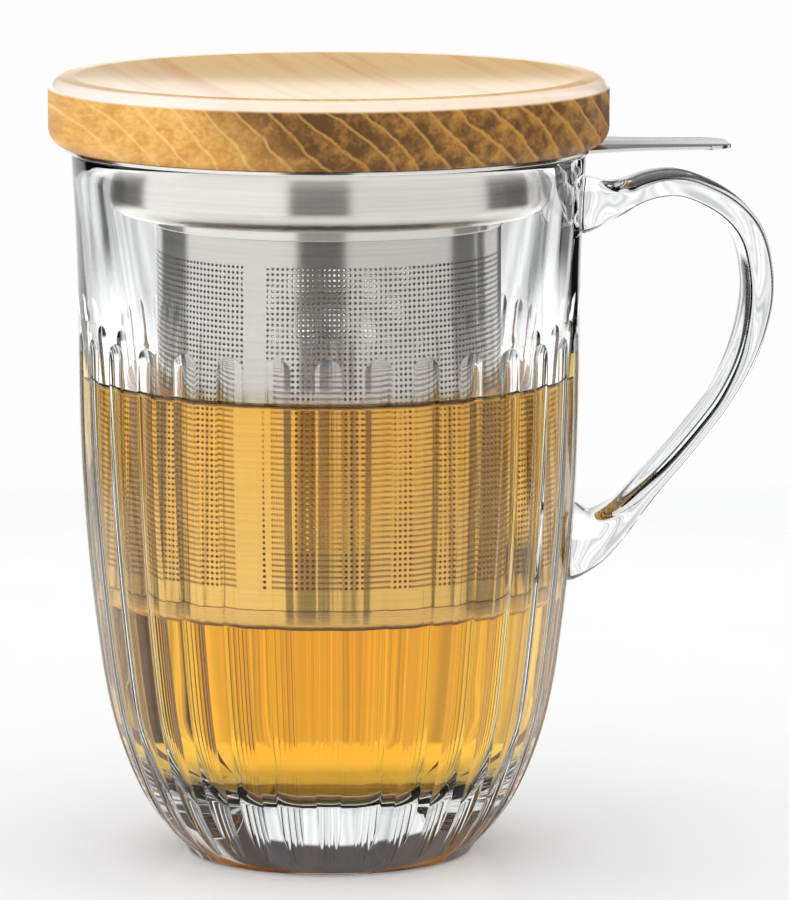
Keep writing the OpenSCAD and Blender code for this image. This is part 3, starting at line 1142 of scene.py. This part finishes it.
table_edge = circle(TABLE_R, 0, np.arange(128) / 128 * 2 * math.pi)
table = mesh_object("table", table_edge, [list(range(128))])
table.data.materials.append(material("pale_table", pale_table))
table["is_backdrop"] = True
print("the table is", 2 * TABLE_R, "mm across")

# %% [markdown]
# ## The studio
#
# Glass has no colour of its own: it shows the room. A glass photographer puts a bright field behind
# the glass and dark gaps beside it, so that the edges draw themselves as dark lines. The world
# holds that room. Diffuse light comes from everywhere at a plain level, while reflections and
# refractions see a bright backdrop, two soft boxes and a strip, and the dark between them.
#
# The backdrop ends at some height. What the steel mirrors ends low, and what shows through the
# glass ends higher: there the foot of the glass turns dark.

# %% World
CAMERA_AZIMUTH = math.radians(-4)
# from and to, in degrees round the mug, counted from the camera's side
LEFT_BOX = (-104, -19.5)
RIGHT_BOX = (11, 86)
RIGHT_STRIP = (120, 146)
# the backdrop fills the directions that this leaves
BACKDROP_GAP = (-140, 163)
# the level of the left box, and the shares of it that the others have
BOX_LEVEL = 1.08
RIGHT_SHARE, STRIP_SHARE = 0.74, 0.75
TOP_WHITE = (0.99, 0.99, 0.99)
FLOOR_WHITE = (0.95, 0.955, 0.96)
# where the white of the floor ends, as the height of a ray's direction
HORIZON = (-0.158, -0.153)


def studio(graph):
    """White for the camera, boxes and backdrop for glass and steel, plain light for all else."""
    way = graph.node("ShaderNodeTexCoord", output="Generated")
    x, y, z = (graph.node("ShaderNodeSeparateXYZ", {}, {0: way}, name) for name in "XYZ")
    around = graph.node("ShaderNodeMath", {"operation": "ARCTAN2"}, {0: x, 1: y * -1})
    turn = (around - CAMERA_AZIMUTH) * (180 / math.pi)

    def between(low, high, soft=3):
        """1 between two directions and 0 outside them, with edges soft degrees wide on each side."""
        return turn.ramp(low - soft, low + soft) * (1 - turn.ramp(high - soft, high + soft))

    left, right, strip = between(*LEFT_BOX), between(*RIGHT_BOX), between(*RIGHT_STRIP)
    boxes = left + right * RIGHT_SHARE + strip * STRIP_SHARE
    # seen through the glass, the backdrop has wide and narrow upright bands
    strips = graph.node("ShaderNodeMath", {"operation": "SINE"}, {0: turn * 0.5}) * 0.16
    slats = graph.node("ShaderNodeMath", {"operation": "SINE"}, {0: turn * 1.9}) * 0.13
    through = graph.node("ShaderNodeLightPath", output="Is Transmission Ray")
    behind = (1 - between(*BACKDROP_GAP)) * ((strips + slats - 0.13) * through + 1)
    high = (z - through * 0.33).ramp(0.076, 0.1)
    backdrop = behind * (1 - high * (through * 0.18 + 0.78))
    dark = through * 0.03 + 0.02
    level = (boxes * (1 - z.ramp(0.6, 0.9)) * BOX_LEVEL + backdrop) * (1 - dark) + dark
    white = graph.mix(1 - z.ramp(*HORIZON), TOP_WHITE, FLOOR_WHITE)
    seen = graph.node("ShaderNodeLightPath", output="Is Camera Ray")
    mirrored = graph.node("ShaderNodeLightPath", output="Is Glossy Ray")
    shown = (mirrored + through).clamped()
    # the plain light is a little stronger from above and from the left
    soft = z.ramp(-0.3, 0.9) * 0.35 + (1 - x.ramp(-0.9, 0.7)) * 0.3 + 0.75
    scaling = {"operation": "SCALE"}
    lit = graph.node("ShaderNodeVectorMath", scaling, {0: white, "Scale": level})
    even = graph.node("ShaderNodeVectorMath", scaling, {0: (1.0, 1.0, 1.0), "Scale": soft})
    room = graph.mix(shown, even, lit)
    inputs = {"Color": graph.mix(seen, room, white), "Strength": 1.0}
    light = graph.node("ShaderNodeBackground", {}, inputs)
    end = graph.tree.nodes.new("ShaderNodeOutputWorld")
    graph.tree.links.new(light.socket, end.inputs["Surface"])


world = bpy.data.worlds.new("studio")
scene = bpy.context.scene
scene.world = world
studio(Graph(world))
scene.view_settings.view_transform = "Standard"
# light crosses up to eight surfaces on its way through glass, tea and glass
scene.cycles.max_bounces = 24
scene.cycles.transmission_bounces = 24
print("the studio has", len(world.node_tree.nodes), "nodes")

# %% [markdown]
# ## The camera
#
# A long lens from about a metre away keeps the mug's upright lines upright and still opens its
# round edges into ellipses. The camera faces the flat of the handle from a little to the left, and
# looks down on the lid.

# %% Camera
CAMERA_DISTANCE = 1000.0
CAMERA_HEIGHT = 215.0
AIM_HEIGHT = 63.7
AIM_ASIDE = 10.27
LENS = 256.55

to_camera = Vector((math.sin(CAMERA_AZIMUTH), -math.cos(CAMERA_AZIMUTH), 0))
aside = Vector((math.cos(CAMERA_AZIMUTH), math.sin(CAMERA_AZIMUTH), 0)) * AIM_ASIDE
camera = bpy.data.objects.new("camera", bpy.data.cameras.new("camera"))
scene.collection.objects.link(camera)
eye = to_camera * CAMERA_DISTANCE + aside + Vector((0, 0, CAMERA_HEIGHT))
aim = aside + Vector((0, 0, AIM_HEIGHT))
camera.location = eye * MM
camera.rotation_euler = (aim - eye).to_track_quat("-Z", "Y").to_euler()
camera.data.lens = LENS
camera.data.clip_start = 0.1
camera.data.clip_end = 20
scene.camera = camera
print("the camera stands", round(eye.length), "mm from the mug's foot")

# %% [markdown]
# ## The sizes
#
# The visual model must stay inside the CAD model's box, so both boxes are printed.

# %% Sizes
visual_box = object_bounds()
boxes = {"cad": [list(corner) for corner in cad_box], "visual": [list(corner) for corner in visual_box]}
for name, box in boxes.items():
    print(name, "box in mm:", [[round(v / MM, 1) for v in corner] for corner in box])
